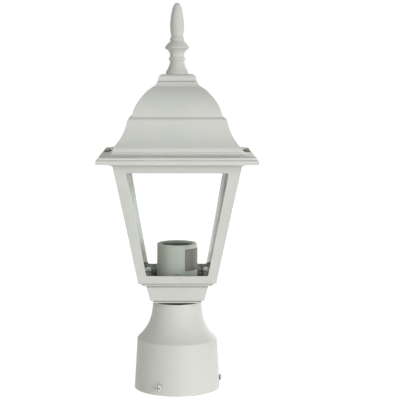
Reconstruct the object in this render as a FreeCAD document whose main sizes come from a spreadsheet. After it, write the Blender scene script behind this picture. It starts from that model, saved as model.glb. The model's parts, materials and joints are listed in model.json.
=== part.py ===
import FreeCAD, Part
import math
import os
from types import SimpleNamespace

import Sketcher

# Post top lantern for a 3 inch post. Millimetres, +Z up, front towards -Y, and the origin at
# the middle of the collar's bottom rim. A "half" is the distance from the upright axis to a
# flat side of the square lantern, and an "_r" is a radius about that axis or a screw's own.

# ---------------------------------------------------------------------------------------
# Driving sizes: name, value in millimetres or degrees, what it is
# ---------------------------------------------------------------------------------------
DRIVING_SIZES = [
    # post collar
    ("post_r", 38.1, "radius of the 3 inch post"),
    ("post_play", 0.5, "radial play between the post and the collar's bore"),
    ("bore_depth", 44.0, "how far the post goes into the collar"),
    ("collar_foot_r", 42.7, "outer radius at the bottom rim"),
    ("collar_shoulder_r", 39.8, "outer radius at the top of the skirt"),
    ("collar_shoulder_height", 50.0, "height of the top of the skirt"),
    ("collar_bevel", 1.2, "width of the bevel on the shoulder"),
    ("collar_cove_radius", 43.0, "radius of the cove above the shoulder"),
    ("collar_neck_r", 24.8, "outer radius at the foot of the neck"),
    ("collar_neck_length", 8.5, "height of the neck above the cove"),
    ("collar_top_r", 23.9, "outer radius of the top rim"),
    ("collar_height", 87.5, "height of the top rim"),
    ("collar_wall", 3.6, "wall behind the cove"),
    ("collar_stop", 4.6, "width of the ledge that the post meets"),
    ("collar_web", 4.0, "thickness of the web across the neck"),
    ("spigot_recess", 1.5, "depth of the recess for the cage's spigot"),
    # set screws
    ("set_screw_height", 7.8, "height of the set screws"),
    ("set_screw_turn", -115.0, "direction of the first set screw, from +X"),
    ("set_screw_r", 2.5, "shank radius of a set screw"),
    ("set_screw_head_r", 3.6, "head radius of a set screw"),
    ("set_screw_head", 2.1, "head thickness of a set screw"),
    ("set_screw_standoff", 1.1, "gap under the head while the post is out"),
    # cage
    ("neck_gap", 1.5, "gap between the collar's rim and the square boss"),
    ("spigot_r", 20.2, "radius of the cage's spigot"),
    ("boss_half", 23.5, "half width of the square boss"),
    ("boss_height", 2.4, "height of the square boss"),
    ("cup_foot_half", 26.3, "half width of the cup at its bottom"),
    ("cup_round", 2.0, "rounding of the cup's bottom edge"),
    ("cup_top_half", 29.9, "half width of the cup under the moulding"),
    ("cup_height", 14.5, "height of the cup"),
    ("quirk_depth", 0.7, "depth of the quirks, the fine grooves beside a moulding"),
    ("boss_quirk", 1.1, "height of the quirk under the cup"),
    ("cup_quirk", 1.7, "height of the quirk between the cup and the moulding"),
    ("moulding_foot_half", 33.0, "half width of the moulding at its foot"),
    ("moulding_half", 35.2, "half width of the moulding at its top"),
    ("moulding_height", 2.3, "height of the moulding"),
    ("moulding_radius", 6.0, "radius of the moulding's face"),
    ("moulding_quirk", 0.8, "height of the quirk above the moulding"),
    ("frame_foot_half", 37.8, "half width of the tapered frame at its foot"),
    ("frame_top_half", 61.1, "half width of the tapered frame at its top"),
    ("frame_height", 115.9, "height of the tapered frame"),
    ("frame_wall", 2.4, "thickness of the posts and rails"),
    ("rim_half", 65.5, "half width of the rim that carries the roof"),
    ("rim_bevel", 1.9, "height of the bevel under the rim"),
    ("rim_edge", 0.5, "height of the rim's upright edge"),
    ("sill_step", 1.8, "height of the sill above the frame's foot"),
    ("window_low_half", 29.8, "half width of a window at its bottom"),
    ("window_high_half", 48.6, "half width of a window at its top"),
    ("window_low", 7.7, "height of the bottom rail"),
    ("window_top_rail", 6.6, "height of the frame above a window"),
    ("window_round", 1.5, "corner radius of a window"),
    ("well_floor", 3.0, "thickness of the cup's floor above the boss"),
    ("well_foot_half", 24.2, "half width of the well at its floor"),
    ("well_top_half", 26.6, "half width of the well at the sill"),
    ("lug_half_width", 5.5, "half width of a roof screw's lug"),
    ("lug_height", 5.7, "height of a roof screw's lug"),
    # panes and the posts that hold them
    ("glass_thickness", 2.4, "thickness of a pane"),
    ("glass_play", 0.2, "gap between a pane and its frame"),
    ("glass_corner_gap", 0.6, "gap between neighbouring panes"),
    ("glass_top_gap", 3.0, "gap between a pane's top and the roof's lip"),
    ("clip_r", 3.2, "radius of a pane clip"),
    ("clip_height", 3.9, "height of a pane clip"),
    ("peg_r", 1.3, "radius of the peg under a clip"),
    ("peg_height", 2.3, "height of the peg under a clip"),
    # roof
    ("roof_seat_gap", 0.1, "gap between the rim and the roof"),
    ("roof_half", 76.2, "half width of the eave"),
    ("fascia_height", 3.8, "height of the eave's edge"),
    ("fillet_step", 2.0, "width of the step above the eave's edge"),
    ("fillet_rise", 0.6, "rise of that step"),
    ("ridge_height", 2.2, "height of the ridge above the step"),
    ("eave_slope_half", 65.0, "half width where the eave starts to fall away"),
    ("eave_slope_rise", 1.5, "rise of the eave from its ridge to there"),
    ("hollow_half", 62.6, "half width at the foot of the eave's hollow"),
    ("hollow_rise", 0.9, "rise to the foot of the eave's hollow"),
    ("drum_half", 60.8, "half width at the foot of the upright band"),
    ("drum_rise", 2.4, "rise from the hollow to the upright band"),
    ("drum_height", 3.2, "height of the upright band"),
    ("flare_foot_half", 60.4, "half width at the foot of the flare"),
    ("flare_height", 26.2, "height of the flare"),
    ("flare_radius", 51.5, "radius of the flare"),
    ("flare_top_half", 47.4, "half width at the top of the flare"),
    ("step_height", 2.4, "height of the rounded step above the flare"),
    ("step_radius", 8.0, "radius of the rounded step"),
    ("dome_foot_half", 43.5, "half width at the foot of the dome"),
    ("dome_height", 28.3, "height of the dome"),
    ("dome_radius", 40.7, "radius of the dome"),
    ("dome_top_half", 22.8, "half width at the top of the dome"),
    ("throat_height", 4.8, "height of the throat above the dome"),
    ("throat_radius", 14.0, "radius of the throat"),
    ("throat_top_half", 19.3, "half width of the throat under the cap"),
    ("cap_quirk", 0.8, "height of the quirk under the cap"),
    ("cap_foot_half", 18.9, "half width of the cap at its foot"),
    ("cap_half", 17.6, "half width of the cap at its edge"),
    ("cap_height", 4.6, "height of the cap's edge"),
    ("cap_crown", 1.7, "rise of the cap above its edge"),
    ("cap_flat_half", 14.6, "half width of the cap's flat middle"),
    ("cap_radius", 8.0, "radius of the cap's crown"),
    ("roof_wall", 2.8, "wall of the roof"),
    ("roof_ceiling", 5.6, "thickness of the roof under the finial"),
    ("roof_lip_half", 54.0, "half width of the opening in the roof's lip"),
    ("roof_lip_height", 3.0, "thickness of the roof's lip"),
    # roof screws
    ("roof_screw_seat", 7.3, "height of the screw's seat above the roof's bottom"),
    ("roof_screw_seat_r", 4.0, "radius of the screw's seat"),
    ("roof_screw_r", 2.0, "shank radius of a roof screw"),
    ("roof_screw_length", 11.2, "shank length of a roof screw"),
    ("roof_screw_head_r", 3.45, "head radius of a roof screw"),
    ("roof_screw_head", 3.3, "head height of a roof screw"),
    # finial
    ("finial_base_r", 11.0, "radius of the finial's foot"),
    ("finial_foot", 2.6, "height of the finial's foot"),
    ("finial_flare", 9.0, "height of the flare above the foot"),
    ("finial_flare_radius", 25.0, "radius of that flare"),
    ("finial_neck_r", 7.0, "radius of the finial's neck"),
    ("finial_neck", 1.3, "height of the neck below the bead"),
    ("finial_bead", 4.1, "height of the bead"),
    ("finial_bead_radius", 2.4, "radius of the bead's section"),
    ("finial_stem", 2.9, "height of the stem above the bead"),
    ("finial_collar_r", 11.9, "radius of the finial's collar"),
    ("finial_collar_rise", 5.2, "height of the hollow under the collar"),
    ("finial_collar_hollow", 8.0, "radius of that hollow"),
    ("finial_collar_edge", 1.2, "height of the collar's edge"),
    ("finial_shoulder", 5.8, "height of the collar's top"),
    ("finial_shoulder_radius", 20.0, "radius of the collar's top"),
    ("finial_ring_r", 6.5, "radius at the ring above the collar"),
    ("finial_ring", 3.4, "height of that ring"),
    ("finial_ring_radius", 2.6, "radius of that ring's section"),
    ("finial_bud_foot_r", 5.75, "radius at the foot of the bud"),
    ("finial_bud_ease", 1.2, "height from the ring to the bud"),
    ("finial_bud_rise", 11.3, "height from the bud's foot to its widest"),
    ("finial_bud_r", 6.85, "radius of the bud at its widest"),
    ("finial_bud_low_radius", 40.0, "radius of the bud's lower side"),
    ("finial_bud_fall", 14.1, "height of the bud's long upper side"),
    ("finial_bud_high_radius", 72.0, "radius of the bud's upper side"),
    ("finial_tip_foot_r", 5.0, "radius where the tip starts"),
    ("finial_tip_rise", 6.1, "height of the tip's side"),
    ("finial_tip_side", 20.0, "radius of the tip's side"),
    ("finial_tip_r", 2.4, "radius at the top of the tip's side"),
    ("finial_tip_round", 0.9, "height of the rounding round the point"),
    ("finial_tip_radius", 1.6, "radius of that rounding"),
    ("finial_tip_flat_r", 1.2, "radius of the flat on the point"),
    ("stud_r", 3.0, "radius of the finial's stud"),
    ("stud_in_finial", 12.0, "length of the stud inside the finial"),
    ("stud_below_nut", 1.8, "length of the stud below its nut"),
    ("stud_nut_flats", 10.0, "width across the flats of the stud's nut"),
    ("stud_nut_height", 5.0, "height of the stud's nut"),
    ("stud_washer_r", 8.0, "radius of the stud's washer"),
    ("stud_washer", 1.2, "thickness of the stud's washer"),
    # threaded pipe through the neck
    ("pipe_r", 5.15, "outer radius of the threaded pipe"),
    ("pipe_bore_r", 3.5, "inner radius of the threaded pipe"),
    ("pipe_play", 0.25, "play of the pipe in its plain holes"),
    ("pipe_end", 2.0, "length of the pipe beyond its nuts"),
    ("pipe_nut_flats", 14.3, "width across the flats of a pipe nut"),
    ("lock_nut_height", 3.2, "height of the upper pipe nut"),
    ("lower_nut_height", 4.0, "height of the lower pipe nut"),
    ("pipe_washer_r", 11.0, "radius of the pipe's washer"),
    ("pipe_washer", 1.5, "thickness of the pipe's washer"),
    # lamp holder
    ("bracket_plate", 1.5, "thickness of the bracket's plate"),
    ("bracket_half", 17.0, "half length of the bracket"),
    ("bracket_half_width", 7.0, "half width of the bracket"),
    ("bracket_height", 8.6, "height of the bracket"),
    ("bracket_flange", 8.0, "length of a flange of the bracket"),
    ("socket_r", 20.0, "outer radius of the lamp holder's body"),
    ("socket_height", 42.7, "height of the lamp holder's body"),
    ("socket_floor", 5.0, "thickness of the lamp holder's floor"),
    ("socket_cavity_r", 14.6, "radius of the lamp holder's cavity"),
    ("socket_mouth_r", 18.1, "radius of the lamp holder's mouth"),
    ("socket_mouth", 6.2, "depth of the lamp holder's mouth"),
    ("socket_rim_round", 0.6, "bevel on the lamp holder's edges"),
    ("socket_notch_width", 4.0, "width of the notch in the front of the body"),
    ("socket_notch_depth", 1.2, "depth of that notch"),
    ("socket_notch_low", 8.5, "height of that notch's bottom above the body's"),
    ("socket_notch_high", 14.3, "height of that notch's top above the body's"),
    ("shell_r", 13.3, "inner radius of the screw shell, for a medium lamp cap"),
    ("shell_wall", 0.6, "wall of the screw shell"),
    ("shell_flange_r", 16.2, "radius of the screw shell's flange"),
    ("shell_length", 26.6, "length of the screw shell"),
    ("shell_tongue_width", 3.6, "width of a tongue that stands on the shell's flange"),
    ("shell_tongue_height", 5.4, "height of that tongue"),
    ("contact_width", 5.0, "width of the centre contact"),
    ("contact_plate", 0.6, "thickness of the centre contact"),
    ("contact_root_far", 12.0, "far end of the contact's root"),
    ("contact_root_near", 4.2, "near end of the contact's root"),
    ("contact_lift", 3.2, "how far the contact's tongue rises"),
    ("contact_nose", 2.0, "where the tongue levels out, past the axis"),
    ("contact_tip", 4.5, "where the tongue ends, past the axis"),
    ("contact_rivet_offset", 9.0, "distance of the contact's rivet from the axis"),
    ("contact_rivet_r", 1.5, "shank radius of the contact's rivet"),
    ("bracket_rivet_offset", 12.0, "distance of a bracket rivet from the axis"),
    ("bracket_rivet_r", 1.55, "shank radius of a bracket rivet"),
    ("rivet_head_r", 2.35, "head radius of every rivet"),
    ("rivet_head", 1.0, "head height of every rivet"),
    ("rivet_play", 0.05, "play of a rivet in its hole"),
    ("label_gap", 0.05, "gap between the foil and the lamp holder"),
    ("label_foil", 0.25, "thickness of the foil"),
    ("label_low", 17.3, "height of the foil's bottom above the body's"),
    ("label_height", 21.1, "height of the foil"),
    ("label_turn", -66.5, "direction where the foil starts, from +X"),
    ("label_sweep", 102.0, "how far the foil reaches round"),
    ("lead_r", 1.15, "radius of a lead"),
    ("lead_offset", 1.6, "distance of a lead from the axis"),
    ("lead_play", 0.2, "play of a lead in the lamp holder's floor"),
    # ground screw
    ("ground_screw_offset", 16.0, "distance of the ground screw from both mid planes"),
    ("ground_screw_r", 2.0, "shank radius of the ground screw"),
    ("ground_screw_length", 4.6, "shank length of the ground screw"),
    ("ground_screw_head_r", 3.4, "head radius of the ground screw"),
    ("ground_screw_head", 2.4, "head height of the ground screw"),
    # fits
    ("thread_play", 0.05, "radial play between a thread and its hole"),
    ("face_gap", 0.05, "gap between a screw's head and its seat"),
    ("recess_width", 1.0, "width of a cross recess's arms"),
    ("recess_share", 1.15, "half length of a cross recess's arms, in screw radii"),
    ("recess_depth", 1.1, "depth of a cross recess"),
]

doc = FreeCAD.newDocument("post_top_lantern")
sheet = doc.addObject("Spreadsheet::Sheet", "Sizes")
for row, (alias, value, meaning) in enumerate(DRIVING_SIZES, start=1):
    sheet.set(f"A{row}", alias)
    sheet.set(f"B{row}", str(value))
    sheet.set(f"C{row}", meaning)
    sheet.setAlias(f"B{row}", alias)
doc.recompute()


class Size:
    """A length together with the sheet expression that gives it."""

    def __init__(self, value, text):
        self.value = float(value)
        self.text = text

    def __add__(self, other):
        other = as_size(other)
        return Size(self.value + other.value, f"({self.text} + {other.text})")

    def __sub__(self, other):
        other = as_size(other)
        return Size(self.value - other.value, f"({self.text} - {other.text})")

    def __mul__(self, other):
        other = as_size(other)
        return Size(self.value * other.value, f"({self.text} * {other.text})")

    def __truediv__(self, other):
        other = as_size(other)
        return Size(self.value / other.value, f"({self.text} / {other.text})")

    def __radd__(self, other):
        return as_size(other) + self

    def __rsub__(self, other):
        return as_size(other) - self

    def __rmul__(self, other):
        return as_size(other) * self

    def __neg__(self):
        return Size(-self.value, f"(0 - {self.text})")


def as_size(number):
    return number if isinstance(number, Size) else Size(number, repr(float(number)))


def square_root(size):
    return Size(math.sqrt(size.value), f"sqrt({size.text})")


s = SimpleNamespace(**{name: Size(value, f"Sizes.{name}") for name, value, _ in DRIVING_SIZES})


# ---------------------------------------------------------------------------------------
# Tools
# ---------------------------------------------------------------------------------------
class Turn:
    """Between two points of an outline: an arc. A positive radius turns left, a negative one right."""

    def __init__(self, radius):
        self.radius = as_size(radius)


def mirrored(side):
    """The closed outline of a symmetric shape from its right-hand side, bottom to top."""
    left = [item if isinstance(item, Turn) else (-as_size(item[0]), item[1]) for item in reversed(side)]
    return side + left


def arc_geometry(start, end, radius):
    """The short arc from start to end, which turns left where radius is positive."""
    chord = end - start
    middle = (start + end) * 0.5
    reach = math.sqrt(max(radius * radius - chord.Length**2 / 4, 0.0))
    left = FreeCAD.Vector(-chord.y, chord.x, 0).normalize()
    centre = middle + left * math.copysign(reach, radius)
    first, last = (start, end) if radius > 0 else (end, start)
    angles = [math.atan2(p.y - centre.y, p.x - centre.x) for p in (first, last)]
    if angles[1] < angles[0]:
        angles[1] += 2 * math.pi
    circle = Part.Circle(centre, FreeCAD.Vector(0, 0, 1), abs(radius))
    return Part.ArcOfCircle(circle, angles[0], angles[1])


def bind(sketch, kind, *place, size):
    """A sketch constraint whose value follows the sheet."""
    index = sketch.addConstraint(Sketcher.Constraint(kind, *place, size.value))
    sketch.setExpression(f"Constraints[{index}]", size.text)


def place_point(sketch, geometry, end, across, up):
    """Ties one end of a sketch element to its two coordinates."""
    vertical_axis, horizontal_axis = -2, -1
    if across.value == 0:
        sketch.addConstraint(Sketcher.Constraint("PointOnObject", geometry, end, vertical_axis))
    else:
        bind(sketch, "DistanceX", geometry, end, size=across)
    if up.value == 0:
        sketch.addConstraint(Sketcher.Constraint("PointOnObject", geometry, end, horizontal_axis))
    else:
        bind(sketch, "DistanceY", geometry, end, size=up)


def draw(sketch, outline):
    """Draws a closed outline of points, with a Turn between two points for an arc."""
    points = [(as_size(x), as_size(y)) for x, y in (p for p in outline if not isinstance(p, Turn))]
    turns = {}
    count = 0
    for item in outline:
        if isinstance(item, Turn):
            turns[count - 1] = item
        else:
            count += 1
    ends = []
    for i, point in enumerate(points):
        start = FreeCAD.Vector(point[0].value, point[1].value, 0)
        follower = points[(i + 1) % count]
        end = FreeCAD.Vector(follower[0].value, follower[1].value, 0)
        if i in turns:
            radius = turns[i].radius
            geometry = sketch.addGeometry(arc_geometry(start, end, radius.value))
            ends.append((geometry, 1, 2) if radius.value > 0 else (geometry, 2, 1))
            bind(sketch, "Radius", geometry, size=radius if radius.value > 0 else -radius)
        else:
            geometry = sketch.addGeometry(Part.LineSegment(start, end))
            ends.append((geometry, 1, 2))
    for i, (geometry, first, last) in enumerate(ends):
        following, following_first, _ = ends[(i + 1) % count]
        sketch.addConstraint(
            Sketcher.Constraint("Coincident", geometry, last, following, following_first)
        )
        place_point(sketch, geometry, first, *points[i])


def new_body(name):
    body = doc.addObject("PartDesign::Body", name)
    body.Label = name
    return body


def new_sketch(body, plane, outline, offset=None):
    """An outline on one of the body's origin planes, moved along that plane's normal."""
    sketch = body.newObject("Sketcher::SketchObject", f"{body.Name}_sketch")
    support = next(f for f in body.Origin.OriginFeatures if f.Role == plane)
    sketch.AttachmentSupport = [(support, "")]
    sketch.MapMode = "FlatFace"
    if offset is not None:
        sketch.setExpression("AttachmentOffset.Base.z", as_size(offset).text)
    draw(sketch, outline)
    return sketch


def revolve(name, outline, axis="V_Axis", sweep=None):
    """Turns an outline in the XZ plane about the upright axis, or about the axis that lies."""
    body = new_body(name)
    sketch = new_sketch(body, "XZ_Plane", outline)
    feature = body.newObject("PartDesign::Revolution", f"{name}_turned")
    feature.Profile = sketch
    feature.ReferenceAxis = (sketch, [axis])
    feature.Angle = 360
    if sweep is not None:
        feature.setExpression("Angle", sweep.text)
    return body


def pad(name, plane, outline, length, centred=True, offset=None):
    """Thickens an outline on both sides of its plane, or on the normal's side only."""
    body = new_body(name)
    sketch = new_sketch(body, plane, outline, offset)
    feature = body.newObject("PartDesign::Pad", f"{name}_pad")
    feature.Profile = sketch
    feature.SideType = "Symmetric" if centred else "One side"
    feature.setExpression("Length", as_size(length).text)
    return body


def pocket(body, plane, outline, length):
    """Cuts an outline out of a body, as deep on both sides of its plane."""
    sketch = new_sketch(body, plane, outline)
    feature = body.newObject("PartDesign::Pocket", f"{body.Name}_pocket")
    feature.Profile = sketch
    feature.SideType = "Symmetric"
    feature.setExpression("Length", as_size(length).text)


def rectangle(left, right, low, high):
    return [(left, low), (right, low), (right, high), (left, high)]


def move(thing, x=None, y=None, z=None):
    """Ties an object's place to the sheet."""
    for axis, size in (("x", x), ("y", y), ("z", z)):
        if size is not None:
            thing.setExpression(f"Placement.Base.{axis}", as_size(size).text)
    return thing


def spin(thing, degrees):
    """Turns an object about the upright axis by an amount from the sheet."""
    thing.Placement = FreeCAD.Placement(FreeCAD.Vector(), FreeCAD.Rotation(FreeCAD.Vector(0, 0, 1), 1))
    thing.setExpression("Placement.Rotation.Angle", as_size(degrees).text)
    return thing


def cylinder(name, radius, height, x=None, y=None, z=None):
    thing = doc.addObject("Part::Cylinder", name)
    thing.setExpression("Radius", as_size(radius).text)
    thing.setExpression("Height", as_size(height).text)
    return move(thing, x, y, z)


def box(name, x_range, y_range, z_range):
    thing = doc.addObject("Part::Box", name)
    for side, (low, high) in (("Length", x_range), ("Width", y_range), ("Height", z_range)):
        thing.setExpression(side, (as_size(high) - as_size(low)).text)
    return move(thing, x_range[0], y_range[0], z_range[0])


def hexagon(name, flats, height, z):
    thing = doc.addObject("Part::Prism", name)
    thing.Polygon = 6
    thing.setExpression("Circumradius", (flats / math.sqrt(3)).text)
    thing.setExpression("Height", height.text)
    return move(thing, z=z)


def fuse(name, things):
    thing = doc.addObject("Part::MultiFuse", name)
    thing.Shapes = things
    return thing


def cut(name, base, tools):
    """Takes the tools out of the base."""
    thing = doc.addObject("Part::Cut", name)
    thing.Base = base
    thing.Tool = tools[0] if len(tools) == 1 else fuse(f"{name}_tools", tools)
    thing.Label = name
    return thing


def group(name, things):
    """Separate, equal pieces under one name."""
    thing = doc.addObject("Part::Compound", name)
    thing.Links = things
    thing.Label = name
    return thing


def mitred(name, side, span):
    """A square moulding mitred at its corners: what its outline run along X and along Y share."""
    across = pad(f"{name}_along_y", "XZ_Plane", mirrored(side), span)
    along = pad(f"{name}_along_x", "YZ_Plane", mirrored(side), span)
    thing = doc.addObject("Part::Common", name)
    thing.Base = across
    thing.Tool = along
    return thing


def cross_recess(body, upright, top, radius):
    """The two arms of a cross recess in the top of a screw's head."""
    arm = radius * s.recess_share
    half = s.recess_width / 2
    low = top - s.recess_depth
    high = top + s.recess_depth
    if upright:
        pocket(body, "XZ_Plane", rectangle(-half, half, low, high), arm * 2)
        pocket(body, "YZ_Plane", rectangle(-half, half, low, high), arm * 2)
    else:
        pocket(body, "XZ_Plane", rectangle(low, high, -half, half), arm * 2)
        pocket(body, "XY_Plane", rectangle(low, high, -half, half), arm * 2)


def pan_screw(name, seat, radius, length, head_r, head, upright=True):
    """A pan head screw whose head sits on "seat" and whose shank runs back towards zero."""
    crown = head * 0.45
    ease = head_r * 0.28
    outline = [
        (0, seat - length),
        (radius - s.thread_play * 4, seat - length),
        (radius, seat - length + s.thread_play * 4),
        (radius, seat),
        (head_r, seat),
        (head_r, seat + head - crown),
        (head_r - ease, seat + head - crown * 0.3),
        (head_r - ease * 2, seat + head),
        (0, seat + head),
    ]
    if upright:
        body = revolve(name, outline)
    else:
        body = revolve(name, [(along, out) for out, along in outline], axis="H_Axis")
    cross_recess(body, upright, seat + head, radius)
    return body


# ---------------------------------------------------------------------------------------
# Heights that several pieces share
# ---------------------------------------------------------------------------------------
bore_r = s.post_r + s.post_play
web_top = s.collar_height - s.spigot_recess
web_bottom = web_top - s.collar_web
boss_bottom = s.collar_height + s.neck_gap
cup_bottom = boss_bottom + s.boss_height
well_bottom = cup_bottom + s.well_floor
cup_top = cup_bottom + s.cup_height
moulding_low = cup_top + s.cup_quirk
moulding_high = moulding_low + s.moulding_height
frame_foot = moulding_high + s.moulding_quirk
frame_top = frame_foot + s.frame_height
sill = frame_foot + s.sill_step
cage_top = frame_top + s.rim_bevel + s.rim_edge
roof_bottom = cage_top + s.roof_seat_gap
frame_taper = (s.frame_top_half - s.frame_foot_half) / s.frame_height
window_foot = frame_foot + s.window_low
window_top = frame_top - s.window_top_rail
roof_screw_offset = (s.frame_top_half + s.roof_half) / 2


def inside_frame(height):
    """Half width between the inner faces of the tapered frame at a height."""
    return s.frame_foot_half + frame_taper * (height - frame_foot) - s.frame_wall


# ---------------------------------------------------------------------------------------
# Post collar and its set screws
# ---------------------------------------------------------------------------------------
def set_screw_seat():
    """Distance of a set screw's seat from the axis: the collar's wall plus the standoff."""
    lean = (s.collar_foot_r - s.collar_shoulder_r) / s.collar_shoulder_height
    return s.collar_foot_r - lean * s.set_screw_height + s.set_screw_standoff


def make_collar():
    neck_foot = s.collar_height - s.collar_neck_length
    outline = [
        (bore_r, 0),
        (s.collar_foot_r, 0),
        (s.collar_shoulder_r, s.collar_shoulder_height),
        (s.collar_shoulder_r - s.collar_bevel, s.collar_shoulder_height + s.collar_bevel),
        Turn(-s.collar_cove_radius),
        (s.collar_neck_r, neck_foot),
        (s.collar_top_r, s.collar_height),
        (s.spigot_r + s.pipe_play, s.collar_height),
        (s.spigot_r + s.pipe_play, web_top),
        (s.pipe_r + s.pipe_play, web_top),
        (s.pipe_r + s.pipe_play, web_bottom),
        (s.collar_neck_r - s.collar_wall, web_bottom),
        (s.collar_neck_r - s.collar_wall, neck_foot - s.collar_bevel),
        Turn(s.collar_cove_radius + s.collar_wall),
        (bore_r - s.collar_stop, s.collar_shoulder_height - s.collar_bevel),
        (bore_r - s.collar_stop, s.bore_depth),
        (bore_r, s.bore_depth),
    ]
    casting = revolve("collar_casting", outline)
    holes = []
    for i in range(3):
        near, far = s.collar_top_r, s.collar_foot_r * 1.2
        side = s.set_screw_r + s.thread_play
        hole = revolve(
            f"set_screw_hole_{i + 1}", [(near, 0), (far, 0), (far, side), (near, side)], axis="H_Axis"
        )
        holes.append(move(spin(hole, s.set_screw_turn + 120 * i), z=s.set_screw_height))
    return cut("post_collar", casting, holes)


def make_set_screws():
    seat = set_screw_seat()
    screws = []
    for i in range(3):
        screw = pan_screw(
            f"set_screw_{i + 1}",
            seat,
            s.set_screw_r,
            seat - bore_r - s.thread_play,
            s.set_screw_head_r,
            s.set_screw_head,
            upright=False,
        )
        screws.append(move(spin(screw, s.set_screw_turn + 120 * i), z=s.set_screw_height))
    return screws


# ---------------------------------------------------------------------------------------
# Cage, panes and clips
# ---------------------------------------------------------------------------------------
def clip_offset():
    """Distance of a clip's centre from both mid planes: the clip wedges two panes outwards."""
    pane_depth = s.glass_thickness * square_root(1 + frame_taper * frame_taper)
    return inside_frame(sill) - s.glass_play * 2 - pane_depth - s.clip_r


def make_cage():
    outside = mitred(
        "cage_outside",
        [
            (s.boss_half, boss_bottom),
            (s.boss_half, cup_bottom - s.boss_quirk),
            (s.boss_half - s.quirk_depth, cup_bottom - s.boss_quirk),
            (s.boss_half - s.quirk_depth, cup_bottom),
            (s.cup_foot_half - s.cup_round, cup_bottom),
            Turn(s.cup_round * 1.05),
            (s.cup_foot_half + s.cup_round * 0.2, cup_bottom + s.cup_round),
            (s.cup_top_half, cup_top),
            (s.cup_top_half - s.quirk_depth, cup_top),
            (s.cup_top_half - s.quirk_depth, moulding_low),
            (s.moulding_foot_half, moulding_low),
            Turn(s.moulding_radius),
            (s.moulding_half, moulding_high),
            (s.moulding_half - s.quirk_depth, moulding_high),
            (s.moulding_half - s.quirk_depth, frame_foot),
            (s.frame_foot_half, frame_foot),
            (s.frame_top_half, frame_top),
            (s.rim_half, frame_top + s.rim_bevel),
            (s.rim_half, cage_top),
        ],
        s.rim_half * 3,
    )
    inside = mitred(
        "cage_inside",
        [
            (s.well_foot_half, well_bottom),
            (s.well_top_half, sill),
            (inside_frame(sill), sill),
            (inside_frame(cage_top + s.rim_edge), cage_top + s.rim_edge),
        ],
        s.rim_half * 3,
    )
    window = mirrored([(s.window_low_half, window_foot), (s.window_high_half, window_top)])
    windows = []
    for plane, way in (("XZ_Plane", "front"), ("YZ_Plane", "side")):
        window_body = pad(f"window_{way}", plane, window, s.rim_half * 3)
        doc.recompute()
        round_corners(window_body, s.window_round)
        windows.append(window_body)

    solids = [outside]
    solids.append(cylinder("spigot", s.spigot_r, boss_bottom + s.boss_height - web_top, z=web_top))
    lug_bottom = cage_top - s.lug_height
    for sign in (-1, 1):
        reach = (inside_frame(lug_bottom) + s.frame_wall * 0.6, roof_screw_offset)
        x_range = reach if sign > 0 else (-reach[1], -reach[0])
        name = "right" if sign > 0 else "left"
        solids.append(
            box(f"lug_{name}", x_range, (-s.lug_half_width, s.lug_half_width), (lug_bottom, cage_top))
        )
        solids.append(
            cylinder(
                f"lug_end_{name}", s.lug_half_width, s.lug_height, x=roof_screw_offset * sign, z=lug_bottom
            )
        )
    casting = cut("cage_casting", fuse("cage_solids", solids), [inside, *windows])

    pegs = [casting]
    root = s.peg_r
    for i, (x_sign, y_sign) in enumerate(((-1, -1), (1, -1), (1, 1), (-1, 1)), start=1):
        pegs.append(
            cylinder(
                f"peg_{i}",
                s.peg_r,
                s.peg_height + root,
                x=clip_offset() * x_sign,
                y=clip_offset() * y_sign,
                z=sill - root,
            )
        )
    holes = [cylinder("pipe_hole", s.pipe_r + s.pipe_play, well_bottom, z=s.bore_depth)]
    for sign, name in ((-1, "left"), (1, "right")):
        holes.append(
            cylinder(
                f"lug_hole_{name}",
                s.roof_screw_r + s.thread_play,
                s.lug_height * 2,
                x=roof_screw_offset * sign,
                z=lug_bottom - s.lug_height / 2,
            )
        )
    holes.append(
        cylinder(
            "ground_hole",
            s.ground_screw_r + s.thread_play,
            s.ground_screw_length * 2,
            x=-s.ground_screw_offset,
            y=-s.ground_screw_offset,
            z=well_bottom - s.ground_screw_length - s.thread_play,
        )
    )
    return cut("cage", fuse("cage_with_pegs", pegs), holes)


def round_corners(body, radius):
    """Rounds the long edges of a straight bar."""
    base = body.Tip
    longest = max(edge.Length for edge in base.Shape.Edges)
    nearly = 0.999
    names = [
        f"Edge{i}" for i, edge in enumerate(base.Shape.Edges, start=1) if edge.Length > longest * nearly
    ]
    feature = body.newObject("PartDesign::Fillet", f"{body.Name}_corners")
    feature.Base = (base, names)
    feature.setExpression("Radius", radius.text)
    body.Tip = feature


def make_panes():
    """Four equal panes, each lying against the inner faces of two posts and standing on the sill."""
    foot = sill + s.glass_play
    head = roof_bottom - s.glass_top_gap
    lean = square_root(1 + frame_taper * frame_taper)

    def half(height):
        inner_face = inside_frame(height) - s.glass_play - s.glass_thickness * lean
        return inner_face - s.glass_corner_gap

    panes = []
    for i, side in enumerate(("front", "right", "back", "left")):
        body = new_body(f"glass_{side}")
        outline = mirrored([(half(foot), 0), (half(head), (head - foot) * lean)])
        sketch = new_sketch(body, "XZ_Plane", outline, inside_frame(foot) - s.glass_play)
        sketch.AttachmentOffset = FreeCAD.Placement(
            FreeCAD.Vector(), FreeCAD.Rotation(FreeCAD.Vector(1, 0, 0), 1)
        )
        sketch.setExpression("AttachmentOffset.Base.y", foot.text)
        sketch.setExpression("AttachmentOffset.Rotation.Angle", f"atan({frame_taper.text})")
        feature = body.newObject("PartDesign::Pad", f"glass_{side}_pad")
        feature.Profile = sketch
        feature.Reversed = True
        feature.setExpression("Length", s.glass_thickness.text)
        panes.append(spin(body, 90 * i))
    return panes


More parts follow.
